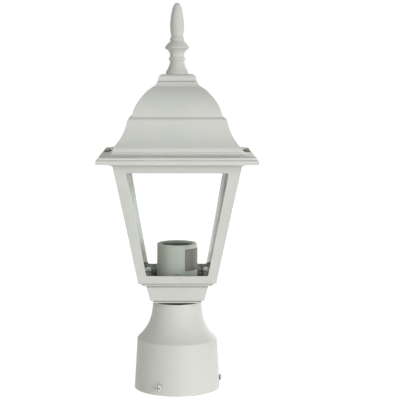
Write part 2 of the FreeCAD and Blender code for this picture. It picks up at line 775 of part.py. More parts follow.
def make_pane_clips():
    """Four corner posts, each pushed onto a peg, that wedge the feet of the panes outwards."""
    top = sill + s.clip_height
    hole_r = s.peg_r + s.thread_play
    hole_top = sill + s.peg_height + s.peg_r / 4
    outline = [
        (hole_r, sill + s.face_gap),
        (s.clip_r, sill + s.face_gap),
        (s.clip_r, top - s.clip_r * 0.6),
        Turn(s.clip_r * 0.8),
        (s.clip_r * 0.3, top),
        (0, top),
        (0, hole_top),
        (hole_r, hole_top),
    ]
    clips = []
    for i, (x_sign, y_sign) in enumerate(((-1, -1), (1, -1), (1, 1), (-1, 1)), start=1):
        clip = revolve(f"pane_clip_{i}", outline)
        clips.append(move(clip, x=clip_offset() * x_sign, y=clip_offset() * y_sign))
    return group("pane_clips", clips)


# ---------------------------------------------------------------------------------------
# Roof and its screws
# ---------------------------------------------------------------------------------------
fascia_top = roof_bottom + s.fascia_height
ridge_foot = fascia_top + s.fillet_rise
ridge_top = ridge_foot + s.ridge_height
slope_top = ridge_top + s.eave_slope_rise
hollow_top = slope_top + s.hollow_rise
drum_foot = hollow_top + s.drum_rise
flare_foot = drum_foot + s.drum_height
flare_top = flare_foot + s.flare_height
dome_foot = flare_top + s.step_height
dome_top = dome_foot + s.dome_height
throat_top = dome_top + s.throat_height
cap_foot = throat_top + s.cap_quirk
cap_edge = cap_foot + s.cap_height
roof_top = cap_edge + s.cap_crown
ceiling = roof_top - s.roof_ceiling
roof_screw_seat = roof_bottom + s.roof_screw_seat


def make_roof():
    outside = mitred(
        "roof_outside",
        [
            (s.roof_half, roof_bottom),
            (s.roof_half, fascia_top),
            (s.roof_half - s.fillet_step, ridge_foot),
            (s.roof_half - s.fillet_step, ridge_top),
            (s.eave_slope_half, slope_top),
            (s.hollow_half, hollow_top),
            (s.drum_half, drum_foot),
            (s.flare_foot_half, flare_foot),
            Turn(-s.flare_radius),
            (s.flare_top_half, flare_top),
            Turn(s.step_radius),
            (s.dome_foot_half, dome_foot),
            Turn(s.dome_radius),
            (s.dome_top_half, dome_top),
            Turn(-s.throat_radius),
            (s.throat_top_half, throat_top),
            (s.cap_foot_half - s.quirk_depth, throat_top),
            (s.cap_foot_half - s.quirk_depth, cap_foot),
            (s.cap_foot_half, cap_foot),
            (s.cap_half, cap_edge),
            Turn(s.cap_radius),
            (s.cap_flat_half, roof_top),
        ],
        s.roof_half * 3,
    )
    lip_top = roof_bottom + s.roof_lip_height
    inside = mitred(
        "roof_inside",
        [
            (s.roof_lip_half, roof_bottom - s.roof_wall),
            (s.roof_lip_half, lip_top),
            (s.flare_foot_half - s.roof_wall, lip_top),
            (s.flare_foot_half - s.roof_wall, flare_foot - s.roof_wall / 4),
            Turn(-(s.flare_radius + s.roof_wall)),
            (s.flare_top_half - s.roof_wall, flare_top - s.roof_wall / 4),
            Turn(s.step_radius - s.roof_wall),
            (s.dome_foot_half - s.roof_wall, dome_foot - s.roof_wall / 2),
            Turn(s.dome_radius - s.roof_wall),
            (s.dome_top_half - s.roof_wall, dome_top - s.roof_wall * 0.7),
            (s.cap_foot_half - s.roof_wall, cap_foot - s.roof_wall),
            (s.cap_foot_half - s.roof_wall, ceiling),
        ],
        s.roof_half * 3,
    )
    holes = [
        cylinder("stud_hole", s.stud_r + s.thread_play * 4, s.roof_ceiling * 3, z=ceiling - s.roof_ceiling)
    ]
    for sign, name in ((-1, "left"), (1, "right")):
        offset = roof_screw_offset * sign
        holes.append(
            cylinder(
                f"roof_hole_{name}",
                s.roof_screw_r + s.thread_play * 5,
                s.roof_screw_seat * 3,
                x=offset,
                z=roof_bottom - s.roof_screw_seat,
            )
        )
        holes.append(
            cylinder(f"roof_seat_{name}", s.roof_screw_seat_r, s.roof_screw_seat, x=offset, z=roof_screw_seat)
        )
    return cut("roof", outside, [inside, *holes])


def make_roof_screws():
    screws = []
    for sign, name in ((-1, "left"), (1, "right")):
        screw = pan_screw(
            f"roof_screw_{name}",
            roof_screw_seat + s.face_gap,
            s.roof_screw_r,
            s.roof_screw_length,
            s.roof_screw_head_r,
            s.roof_screw_head,
        )
        screws.append(move(screw, x=roof_screw_offset * sign))
    return screws


# ---------------------------------------------------------------------------------------
# Finial, its stud, washer and nut
# ---------------------------------------------------------------------------------------
def make_finial():
    foot_top = roof_top + s.finial_foot
    flare = foot_top + s.finial_flare
    bead_low = flare + s.finial_neck
    bead_high = bead_low + s.finial_bead
    stem_top = bead_high + s.finial_stem
    collar_low = stem_top + s.finial_collar_rise
    collar_high = collar_low + s.finial_collar_edge
    ring_low = collar_high + s.finial_shoulder
    ring_high = ring_low + s.finial_ring
    bud_foot = ring_high + s.finial_bud_ease
    bud_wide = bud_foot + s.finial_bud_rise
    tip_foot = bud_wide + s.finial_bud_fall
    tip_high = tip_foot + s.finial_tip_rise
    hole_r = s.stud_r + s.thread_play
    hole_top = roof_top + s.stud_in_finial + s.thread_play
    outline = [
        (hole_r, roof_top),
        (s.finial_base_r, roof_top),
        (s.finial_base_r, foot_top),
        Turn(-s.finial_flare_radius),
        (s.finial_neck_r, flare),
        (s.finial_neck_r, bead_low),
        Turn(s.finial_bead_radius),
        (s.finial_neck_r, bead_high),
        (s.finial_neck_r, stem_top),
        Turn(-s.finial_collar_hollow),
        (s.finial_collar_r, collar_low),
        (s.finial_collar_r, collar_high),
        Turn(s.finial_shoulder_radius),
        (s.finial_ring_r, ring_low),
        Turn(s.finial_ring_radius),
        (s.finial_ring_r, ring_high),
        (s.finial_bud_foot_r, bud_foot),
        Turn(s.finial_bud_low_radius),
        (s.finial_bud_r, bud_wide),
        Turn(s.finial_bud_high_radius),
        (s.finial_tip_foot_r, tip_foot),
        Turn(s.finial_tip_side),
        (s.finial_tip_r, tip_high),
        Turn(s.finial_tip_radius),
        (s.finial_tip_flat_r, tip_high + s.finial_tip_round),
        (0, tip_high + s.finial_tip_round),
        (0, hole_top),
        (hole_r, hole_top),
    ]
    return revolve("finial", outline)


def make_finial_fixing():
    washer_low = ceiling - s.stud_washer
    nut_low = washer_low - s.stud_nut_height
    stud_low = nut_low - s.stud_below_nut
    hole_r = s.stud_r + s.thread_play
    stud = revolve(
        "finial_stud", rectangle(as_size(0), s.stud_r, stud_low, roof_top + s.stud_in_finial)
    )
    washer = revolve("finial_washer", rectangle(hole_r, s.stud_washer_r, washer_low, ceiling))
    nut = cut(
        "finial_nut",
        hexagon("finial_nut_blank", s.stud_nut_flats, s.stud_nut_height, nut_low),
        [cylinder("finial_nut_hole", hole_r, s.stud_nut_height * 3, z=nut_low - s.stud_nut_height)],
    )
    return [stud, washer, nut]


# ---------------------------------------------------------------------------------------
# Threaded pipe, its nuts and washer
# ---------------------------------------------------------------------------------------
bracket_top = well_bottom + s.bracket_plate
lock_nut_top = bracket_top + s.lock_nut_height
pipe_washer_low = web_bottom - s.pipe_washer
lower_nut_low = pipe_washer_low - s.lower_nut_height
pipe_low = lower_nut_low - s.pipe_end
pipe_high = lock_nut_top + s.pipe_end


def make_pipe():
    hole_r = s.pipe_r + s.thread_play
    pipe = revolve("threaded_pipe", rectangle(s.pipe_bore_r, s.pipe_r, pipe_low, pipe_high))
    washer = revolve("pipe_washer", rectangle(hole_r, s.pipe_washer_r, pipe_washer_low, web_bottom))
    pieces = [pipe, washer]
    for name, low, height in (
        ("pipe_lock_nut", bracket_top, s.lock_nut_height),
        ("pipe_lower_nut", lower_nut_low, s.lower_nut_height),
    ):
        blank = hexagon(f"{name}_blank", s.pipe_nut_flats, height, low)
        pieces.append(cut(name, blank, [cylinder(f"{name}_hole", hole_r, height * 3, z=low - height)]))
    return pieces


# ---------------------------------------------------------------------------------------
# Lamp holder
# ---------------------------------------------------------------------------------------
socket_bottom = well_bottom + s.bracket_height
socket_top = socket_bottom + s.socket_height
cavity_floor = socket_bottom + s.socket_floor
ledge = socket_top - s.socket_mouth


def make_bracket():
    """A bent strip: a plate on the floor of the well, two legs and two flanges turned in."""
    plate = s.bracket_plate
    leg_in = s.bracket_half - plate
    flange_end = s.bracket_half - s.bracket_flange
    under = socket_bottom - plate
    side = [
        (s.bracket_half, well_bottom),
        (s.bracket_half, socket_bottom),
        (flange_end, socket_bottom),
        (flange_end, under),
        (leg_in, under),
        (leg_in, bracket_top),
    ]
    strip = pad("bracket_strip", "XZ_Plane", mirrored(side), s.bracket_half_width * 2)
    holes = [cylinder("bracket_pipe_hole", s.pipe_r + s.pipe_play, plate * 3, z=well_bottom - plate)]
    for sign, name in ((-1, "left"), (1, "right")):
        holes.append(
            cylinder(
                f"bracket_hole_{name}",
                s.bracket_rivet_r + s.rivet_play,
                plate * 3,
                x=s.bracket_rivet_offset * sign,
                z=under - plate,
            )
        )
    return cut("socket_bracket", strip, holes)


def make_socket():
    bevel = s.socket_rim_round
    outline = [
        (0, socket_bottom),
        (s.socket_r - bevel, socket_bottom),
        (s.socket_r, socket_bottom + bevel),
        (s.socket_r, socket_top - bevel),
        (s.socket_r - bevel, socket_top),
        (s.socket_mouth_r + bevel, socket_top),
        (s.socket_mouth_r, socket_top - bevel),
        (s.socket_mouth_r, ledge),
        (s.socket_cavity_r, ledge),
        (s.socket_cavity_r, cavity_floor),
        (0, cavity_floor),
    ]
    body = revolve("socket_moulding", outline)
    holes = [
        box(
            "socket_notch",
            (-s.socket_notch_width / 2, s.socket_notch_width / 2),
            (-s.socket_r * 2, s.socket_notch_depth - s.socket_r),
            (socket_bottom + s.socket_notch_low, socket_bottom + s.socket_notch_high),
        )
    ]
    places = [
        ("lead_left", s.lead_r + s.lead_play, -s.lead_offset, 0),
        ("lead_right", s.lead_r + s.lead_play, s.lead_offset, 0),
        ("rivet_left", s.bracket_rivet_r + s.rivet_play, -s.bracket_rivet_offset, 0),
        ("rivet_right", s.bracket_rivet_r + s.rivet_play, s.bracket_rivet_offset, 0),
        ("rivet_back", s.contact_rivet_r + s.rivet_play, 0, s.contact_rivet_offset),
    ]
    depth = s.socket_floor * 2
    hole_low = socket_bottom - s.socket_floor / 2
    for name, radius, x, y in places:
        holes.append(cylinder(f"socket_hole_{name}", radius, depth, x=x, y=y, z=hole_low))
    return cut("socket_body", body, holes)


def rivet(name, radius, low, high, x=0, y=0):
    """A rivet whose two heads clamp what lies between "low" and "high"."""
    ease = s.rivet_head / 2
    outline = [
        (0, low - s.rivet_head),
        (s.rivet_head_r - ease, low - s.rivet_head),
        (s.rivet_head_r, low - s.rivet_head + ease),
        (s.rivet_head_r, low),
        (radius, low),
        (radius, high),
        (s.rivet_head_r, high),
        (s.rivet_head_r, high + s.rivet_head - ease),
        (s.rivet_head_r - ease, high + s.rivet_head),
        (0, high + s.rivet_head),
    ]
    return move(revolve(name, outline), x=x, y=y)


def make_socket_metal():
    outer = s.shell_r + s.shell_wall
    flange_top = ledge + s.shell_wall
    shell_low = flange_top - s.shell_length
    turned_shell = revolve(
        "turned_shell",
        [
            (s.shell_r, shell_low),
            (outer, shell_low),
            (outer, ledge),
            (s.shell_flange_r, ledge),
            (s.shell_flange_r, flange_top),
            (s.shell_r, flange_top),
        ],
    )
    half_tongue = s.shell_tongue_width / 2
    far = s.shell_flange_r - s.shell_wall / 2
    near = far - s.shell_wall
    heights = (ledge + s.shell_wall / 2, flange_top + s.shell_tongue_height)
    tongues = [
        box("tongue_right", (near, far), (-half_tongue, half_tongue), heights),
        box("tongue_left", (-far, -near), (-half_tongue, half_tongue), heights),
    ]
    shell = fuse("screw_shell", [turned_shell, *tongues])
    shell.Label = "screw_shell"
    plate = s.contact_plate
    high = cavity_floor + s.contact_lift
    leaf = pad(
        "contact_leaf",
        "YZ_Plane",
        [
            (-s.contact_tip, high),
            (-s.contact_nose, high),
            (s.contact_root_near, cavity_floor),
            (s.contact_root_far, cavity_floor),
            (s.contact_root_far, cavity_floor + plate),
            (s.contact_root_near + plate / 3, cavity_floor + plate),
            (plate / 3 - s.contact_nose, high + plate),
            (-s.contact_tip, high + plate),
        ],
        s.contact_width,
    )
    hole_r = s.contact_rivet_r + s.rivet_play
    contact = cut(
        "centre_contact",
        leaf,
        [cylinder("contact_hole", hole_r, plate * 3, y=s.contact_rivet_offset, z=cavity_floor - plate)],
    )
    contact_rivet = rivet(
        "contact_rivet", s.contact_rivet_r, socket_bottom, cavity_floor + plate, y=s.contact_rivet_offset
    )
    under = socket_bottom - s.bracket_plate
    pair = [
        rivet(
            f"bracket_rivet_{name}",
            s.bracket_rivet_r,
            under,
            cavity_floor,
            x=s.bracket_rivet_offset * sign,
        )
        for sign, name in ((-1, "left"), (1, "right"))
    ]
    return [shell, contact, contact_rivet, group("bracket_rivets", pair)]


def make_label():
    inner = s.socket_r + s.label_gap
    low = socket_bottom + s.label_low
    strip = rectangle(inner, inner + s.label_foil, low, low + s.label_height)
    return spin(revolve("socket_label", strip, sweep=s.label_sweep), s.label_turn)


def make_leads():
    """Two leads from the lamp holder's floor straight down through the threaded pipe."""
    leads = []
    for sign, name in ((-1, "lead_black"), (1, "lead_white")):
        outline = rectangle(as_size(0), s.lead_r, pipe_low, cavity_floor)
        leads.append(move(revolve(name, outline), x=s.lead_offset * sign))
    return leads


def make_ground_screw():
    screw = pan_screw(
        "ground_screw",
        well_bottom,
        s.ground_screw_r,
        s.ground_screw_length,
        s.ground_screw_head_r,
        s.ground_screw_head,
    )
    return move(screw, x=-s.ground_screw_offset, y=-s.ground_screw_offset)


# ---------------------------------------------------------------------------------------
# The whole lantern
# ---------------------------------------------------------------------------------------
nodes = [
    make_collar(),
    *make_set_screws(),
    make_cage(),
    *make_panes(),
    make_pane_clips(),
    make_roof(),
    *make_roof_screws(),
    make_finial(),
    *make_finial_fixing(),
    *make_pipe(),
    make_bracket(),
    make_socket(),
    *make_socket_metal(),
    make_label(),
    *make_leads(),
    make_ground_screw(),
]
doc.recompute()

for thing in doc.Objects:
    if any(state in ("Invalid", "Error") for state in thing.State):
        raise RuntimeError(f"{thing.Name} failed to build: {thing.State}")
for node in nodes:
    if node.Shape.isNull() or not node.Shape.isValid():
        raise RuntimeError(f"{node.Label} has no valid shape")

os.makedirs("parts", exist_ok=True)
for node in nodes:
    node.Shape.exportStep(f"parts/{node.Label}.step")
    solids = len(node.Shape.Solids)
    print(f"{node.Label:18s} {solids} solid(s) {node.Shape.Volume / 1000:9.3f} cm3 {node.Shape.BoundBox}")
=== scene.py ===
import json
import math

import bmesh
import bpy
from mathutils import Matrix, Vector

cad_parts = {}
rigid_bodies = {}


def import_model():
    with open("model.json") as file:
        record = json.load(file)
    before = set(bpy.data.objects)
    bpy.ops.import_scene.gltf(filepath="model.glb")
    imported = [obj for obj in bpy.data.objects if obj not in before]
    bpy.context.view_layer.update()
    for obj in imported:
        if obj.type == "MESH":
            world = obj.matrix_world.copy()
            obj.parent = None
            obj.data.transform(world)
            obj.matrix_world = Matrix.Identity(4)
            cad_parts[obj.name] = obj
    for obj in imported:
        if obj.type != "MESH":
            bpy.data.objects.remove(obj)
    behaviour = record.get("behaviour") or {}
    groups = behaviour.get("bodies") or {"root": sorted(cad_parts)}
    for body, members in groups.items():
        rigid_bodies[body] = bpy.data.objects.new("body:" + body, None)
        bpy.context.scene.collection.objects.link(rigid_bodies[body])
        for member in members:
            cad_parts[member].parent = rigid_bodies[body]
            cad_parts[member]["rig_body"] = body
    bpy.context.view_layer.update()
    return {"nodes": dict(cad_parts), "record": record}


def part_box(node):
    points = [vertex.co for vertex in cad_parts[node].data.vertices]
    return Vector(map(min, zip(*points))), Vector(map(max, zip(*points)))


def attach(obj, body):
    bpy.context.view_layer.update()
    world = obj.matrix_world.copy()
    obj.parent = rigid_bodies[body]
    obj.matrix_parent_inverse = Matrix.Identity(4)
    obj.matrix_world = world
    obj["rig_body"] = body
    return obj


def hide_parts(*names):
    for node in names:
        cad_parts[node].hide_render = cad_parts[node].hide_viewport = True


# A post top lantern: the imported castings, panes and fittings get their finishes here, and their
# threads are cut in mesh code. Metres, +Z up, front towards -Y.

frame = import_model()
record = frame["record"]
MM = 0.001
UP = (0, 0, 1)


# ---------------------------------------------------------------------------------------
# Camera
# ---------------------------------------------------------------------------------------
IMAGE_WIDTH = 400
AXIS_COLUMN = 177.2  # where the lantern's axis stands in the image, in pixels from its left
CAMERA_PLACE = (0, -1.2327, 0.3244)
CAMERA_PITCH = math.radians(6.3)
FOCAL_LENGTH, SENSOR_WIDTH = 112.5, 36  # in millimetres, as the camera takes them

camera = bpy.data.objects.new("camera", bpy.data.cameras.new("camera"))
bpy.context.scene.collection.objects.link(camera)
camera.location = CAMERA_PLACE
camera.rotation_euler = (math.pi / 2 - CAMERA_PITCH, 0, 0)
camera.data.lens = FOCAL_LENGTH
camera.data.sensor_width = SENSOR_WIDTH
camera.data.shift_x = 0.5 - AXIS_COLUMN / IMAGE_WIDTH
camera.data.clip_start = 0.05
camera.data.clip_end = 50
bpy.context.scene.camera = camera
bpy.context.scene.view_settings.view_transform = "Standard"


# ---------------------------------------------------------------------------------------
# Writing finishes as sums
# ---------------------------------------------------------------------------------------
class Amount:
    """One socket of a finish, for sums written in plain Python."""

    def __init__(self, finish, socket):
        self.finish = finish
        self.socket = socket

    def __add__(self, other):
        return self.finish.sum("ADD", self, other)

    def __sub__(self, other):
        return self.finish.sum("SUBTRACT", self, other)

    def __rsub__(self, other):
        return self.finish.sum("SUBTRACT", other, self)

    def __mul__(self, other):
        return self.finish.sum("MULTIPLY", self, other)

    def __pow__(self, other):
        return self.finish.sum("POWER", self, other)

    __radd__ = __add__
    __rmul__ = __mul__


class Recipe:
    """The nodes of a material or of the surroundings."""

    def __init__(self, owner):
        owner.use_nodes = True
        self.tree = owner.node_tree

    def feed(self, socket, value):
        """Links an amount to a socket, or sets a plain value on it."""
        if isinstance(value, Amount):
            self.tree.links.new(value.socket, socket)
        else:
            socket.default_value = value

    def node(self, kind, settings, inputs, output=0):
        """Adds any node: its settings first, then its sockets' values or links."""
        made = self.tree.nodes.new(kind)
        for setting, value in settings.items():
            setattr(made, setting, value)
        for socket, value in inputs.items():
            self.feed(made.inputs[socket], value)
        return Amount(self, made.outputs[output])

    def sum(self, operation, *terms):
        """One operation on numbers."""
        return self.node("ShaderNodeMath", {"operation": operation}, dict(enumerate(terms)))

    def between(self, amount, low, high):
        """0 where the amount is under "low", 1 over "high", and smooth between them."""
        settings = {"interpolation_type": "SMOOTHSTEP"}
        inputs = {"Value": amount, "From Min": low, "From Max": high}
        return self.node("ShaderNodeMapRange", settings, inputs)

    def blend(self, share, first, second):
        """Goes from the first colour to the second."""
        inputs = {0: share, 6: first, 7: second}
        return self.node("ShaderNodeMix", {"data_type": "RGBA"}, inputs, 2)

    def part_of(self, vector, axis):
        """One of a vector's three numbers."""
        return self.node("ShaderNodeSeparateXYZ", {}, {0: vector}, axis)

    def white_to_the_eye(self):
        """1 for what the camera sees, straight, in a reflection or through glass."""
        rays = [
            self.node("ShaderNodeLightPath", {}, {}, ray)
            for ray in ("Is Camera Ray", "Is Glossy Ray", "Is Transmission Ray")
        ]
        return self.sum("MINIMUM", rays[0] + rays[1] + rays[2], 1.0)


class Finish(Recipe):
    """A procedural material. Its constants are set on the surface shader's own sockets."""

    def __init__(self, name, **constants):
        self.material = bpy.data.materials.new(name)
        super().__init__(self.material)
        self.surface = self.tree.nodes["Principled BSDF"]
        for socket, value in constants.items():
            self.surface.inputs[socket.replace("_", " ")].default_value = value

    def place(self):
        """The point on the piece, in metres."""
        return self.node("ShaderNodeTexCoord", {}, {}, "Object")

    def xyz(self):
        """The point on the piece as three numbers."""
        return [self.part_of(self.place(), axis) for axis in "XYZ"]

    def stretched(self, x, y, z):
        """The point on the piece with each direction scaled."""
        inputs = {0: self.place(), 1: (x, y, z)}
        return self.node("ShaderNodeVectorMath", {"operation": "MULTIPLY"}, inputs)

    def mottle(self, size, detail=2.0, rough=0.5, at=None):
        """Cloudy noise from 0 to 1 whose patches are about "size" millimetres wide."""
        inputs = {
            "Vector": at or self.place(),
            "Scale": 1 / (size * MM),
            "Detail": detail,
            "Roughness": rough,
        }
        return self.node("ShaderNodeTexNoise", {}, inputs)

    def cells(self, size):
        """Distance from scattered points that lie about "size" millimetres apart."""
        inputs = {"Vector": self.place(), "Scale": 1 / (size * MM)}
        return self.node("ShaderNodeTexVoronoi", {}, inputs)

    def shelter(self, reach):
        """How open the surface is: 1 in the open, less in corners within "reach" millimetres."""
        inputs = {"Distance": reach * MM}
        return self.node("ShaderNodeAmbientOcclusion", {"samples": 8}, inputs, "AO")

    def colour(self, value):
        self.feed(self.surface.inputs["Base Color"], value)

    def roughness(self, value):
        self.feed(self.surface.inputs["Roughness"], value)

    def bumps(self, height, depth, edge=None):
        """Raises the surface by "depth" millimetres at most, and rounds its edges by "edge"."""
        inputs = {"Distance": depth * MM, "Height": height}
        if edge is not None:
            inputs["Normal"] = self.node("ShaderNodeBevel", {"samples": 4}, {"Radius": edge * MM})
        self.feed(self.surface.inputs["Normal"], self.node("ShaderNodeBump", {}, inputs))


def tone(red, green, blue, light=1.0):
    """A colour, made lighter or darker as a whole by "light"."""
    return (red * light, green * light, blue * light, 1.0)


# ---------------------------------------------------------------------------------------
# Places that the finishes follow
# ---------------------------------------------------------------------------------------
NECK_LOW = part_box("post_collar")[1].z
NECK_HIGH = NECK_LOW + 1.5 * MM
BOSS_TOP = NECK_HIGH + 2.4 * MM
WELL_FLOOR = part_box("socket_bracket")[0].z
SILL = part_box("pane_clips")[0].z - 0.05 * MM
FRAME_FOOT = SILL - 1.8 * MM
WINDOW_FOOT = FRAME_FOOT + 7.7 * MM
SOCKET_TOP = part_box("socket_body")[1].z
FOIL_LOW, FOIL_HIGH = (corner.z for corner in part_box("socket_label"))
FOIL_START = Vector(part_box("socket_label")[0]).xy


# ---------------------------------------------------------------------------------------
# Finishes
# ---------------------------------------------------------------------------------------
def cast_paint(name="cast_paint", marks=None, light=1.0):
    """Off-white powder coat over a sand casting: fine grit, faint grey-green clouds, painted shade
    in corners and recesses. Its light factor makes the coat lighter or darker as painted light and
    shade.

    Its marks are three shares: no painted corner shade, unpainted metal painted dark also as
    shade, and painted shade at the neck slit.
    """
    finish = Finish(name, Roughness=0.5, IOR=1.45, Specular_IOR_Level=0.35)
    clouds = finish.mottle(38, 3.0, 0.55)
    film = finish.mottle(2.6, 2.0)
    grit = finish.mottle(0.7, 1.0)
    spared_shade, bare_and_shaded, neck_slit_shade = marks(finish) if marks else (0.0, 0.0, 0.0)
    # Painted shade: darker in corners and near black in recesses, except where the marks leave it
    # out
    corners = finish.sum("MAXIMUM", finish.between(finish.shelter(2.4), 0.2, 0.72), spared_shade)
    recess_shade = finish.sum("MAXIMUM", finish.between(finish.shelter(7), 0.05, 0.4), spared_shade)
    # The light factor makes the coat lighter or darker as painted light and shade
    dull, clean = tone(0.7, 0.715, 0.682, light), tone(0.735, 0.748, 0.714, light)
    paint = finish.blend(finish.between(clouds, 0.3, 0.7), dull, clean)
    paint = finish.blend(finish.between(grit, 0.62, 0.75) * 0.25, paint, tone(0.6, 0.615, 0.58))
    paint = finish.blend(corners, tone(0.42, 0.435, 0.385, light), paint)
    paint = finish.blend(recess_shade, tone(0.07, 0.075, 0.055), paint)
    # Unpainted metal, blotched near black; its darkness is also painted shade low inside the cage
    blotches = finish.between(finish.mottle(4.0, 4.0, 0.65), 0.45, 0.62)
    metal = finish.blend(blotches, tone(0.008, 0.01, 0.007), tone(0.17, 0.183, 0.157))
    surface = finish.blend(bare_and_shaded, paint, metal)
    # Painted shade at the neck slit
    finish.colour(finish.blend(neck_slit_shade, surface, tone(0.045, 0.046, 0.028)))
    finish.roughness(0.42 + clouds * 0.12 + grit * 0.1)
    finish.bumps(film * 0.45 + grit * 0.35 + clouds * 0.2, 0.12, edge=0.35)
    return finish.material


def cage_marks(finish):
    """Inside the cage corners get no painted shade, and under the windows the metal is unpainted
    and is painted dark, also as shade.

    The groove under the cup also gets no painted shade, and the boss gets painted shade where it
    meets the neck slit.
    """
    x, y, z = finish.xyz()
    from_axis = finish.sum("MAXIMUM", finish.sum("ABSOLUTE", x), finish.sum("ABSOLUTE", y))
    ragged = finish.mottle(7, 3.0) * (3.0 * MM)

    def half_width(foot, half, taper):
        """The half width of a hollow that widens upwards from its foot."""
        return (z - foot) * taper + half

    # Both half widths reach a little into the wall, so that the inner faces count as inside
    well_half = half_width(WELL_FLOOR, half=25.0 * MM, taper=0.133)
    frame_half = half_width(FRAME_FOOT, half=36.4 * MM, taper=0.201)
    in_frame = finish.between(z, SILL - 0.3 * MM, SILL - 0.1 * MM)
    hollow_half = well_half + (frame_half - well_half) * in_frame
    inside = finish.between(hollow_half - from_axis, 0.0, 0.4 * MM)
    inside *= finish.between(z, WELL_FLOOR - 0.9 * MM, WELL_FLOOR - 0.4 * MM)
    # Under the windows: unpainted metal, painted dark also as shade
    low = finish.between(WINDOW_FOOT + 1.1 * MM - z + ragged, 0.0, 2.0 * MM)

    # The groove under the cup gets no painted corner shade either
    under_cup = finish.between(z, BOSS_TOP - 0.9 * MM, BOSS_TOP - 0.3 * MM)
    under_cup *= finish.between(BOSS_TOP + 1.0 * MM - z, 0.0, 0.6 * MM)
    # Painted shade on the boss's foot, at the neck slit
    neck_slit_shade = finish.between(NECK_HIGH + 0.15 * MM - z, 0.0, 0.12 * MM)
    return finish.sum("MAXIMUM", inside, under_cup * 0.8), inside * low, neck_slit_shade


def collar_marks(finish):
    """The collar's top edge is painted dark as shade, widening the shadow of the neck slit that it
    borders.
    """
    z = finish.part_of(finish.place(), "Z")
    return 0.0, 0.0, finish.between(z, NECK_LOW - 0.6 * MM, NECK_LOW - 0.3 * MM)


def screw_paint():
    """Bright paint over a steel head, with painted shade in its recess."""
    finish = Finish("screw_paint", Roughness=0.3, Specular_IOR_Level=0.5)
    film = finish.mottle(1.4, 2.0)
    # Painted shade in the recess
    corners = finish.between(finish.shelter(1.4), 0.35, 0.9)
    paint = finish.blend(film, tone(0.78, 0.79, 0.76), tone(0.88, 0.885, 0.87))
    finish.colour(finish.blend(corners, tone(0.035, 0.035, 0.028), paint))
    finish.roughness(0.3 + film * 0.2)
    finish.bumps(film, 0.06)
    return finish.material


def clear_glass():
    """Plain float glass with a little dust. Lamps shine through it to what is inside."""
    finish = Finish("clear_glass", Transmission_Weight=1.0, IOR=1.25, Specular_IOR_Level=0.2)
    dust = finish.mottle(9, 4.0, 0.65)
    finish.colour(finish.blend(dust, tone(0.99, 0.995, 0.992), tone(0.965, 0.975, 0.968)))
    finish.roughness(finish.between(dust, 0.45, 0.8) * 0.03)
    see_through = finish.node("ShaderNodeBsdfTransparent", {}, {"Color": tone(0.93, 0.95, 0.94)})
    for_lamps = finish.node("ShaderNodeLightPath", {}, {}, "Is Shadow Ray")
    surface = Amount(finish, finish.surface.outputs[0])
    mixed = finish.node("ShaderNodeMixShader", {}, {0: for_lamps, 1: surface, 2: see_through})
    finish.feed(finish.tree.nodes["Material Output"].inputs["Surface"], mixed)
    return finish.material


def grey_nylon():
    """Light grey moulded plastic."""
    finish = Finish("grey_nylon", Roughness=0.5, Specular_IOR_Level=0.45, Subsurface_Weight=0.05)
    flow = finish.mottle(5, 3.0)
    finish.colour(finish.blend(flow, tone(0.62, 0.64, 0.61), tone(0.76, 0.78, 0.74)))
    finish.roughness(0.4 + flow * 0.2)
    finish.bumps(finish.mottle(0.8), 0.05)
    return finish.material


def plated_steel():
    """Weathered plated steel: brown grey with some pale bloom, and painted shade in its corners.
    """
    finish = Finish("plated_steel", Metallic=1.0, Roughness=0.35)
    patches = finish.mottle(2.6, 3.0, 0.6)
    bloom = finish.between(patches, 0.55, 0.68)
    # Painted shade in corners
    corners = finish.between(finish.shelter(1.5), 0.3, 0.85)
    metal = finish.blend(patches, tone(0.08, 0.072, 0.055), tone(0.42, 0.395, 0.34))
    metal = finish.blend(bloom * 0.7, metal, tone(0.72, 0.71, 0.66))
    finish.colour(finish.blend(corners, tone(0.07, 0.06, 0.045), metal))
    finish.feed(finish.surface.inputs["Metallic"], 1 - bloom * 0.5)
    finish.roughness(0.28 + patches * 0.3)
    finish.bumps(patches, 0.05)
    return finish.material


def zinc_steel():
    """Bright zinc plate with faint drawing lines."""
    finish = Finish("zinc_steel", Metallic=1.0, Roughness=0.3)
    lines = finish.mottle(1.0, 2.0, at=finish.stretched(0.15, 0.15, 3.0))
    patches = finish.mottle(6, 3.0)
    finish.colour(finish.blend(patches, tone(0.5, 0.51, 0.5), tone(0.66, 0.67, 0.67)))
    finish.roughness(0.25 + patches * 0.2 + lines * 0.08)
    finish.bumps(lines, 0.02)
    return finish.material


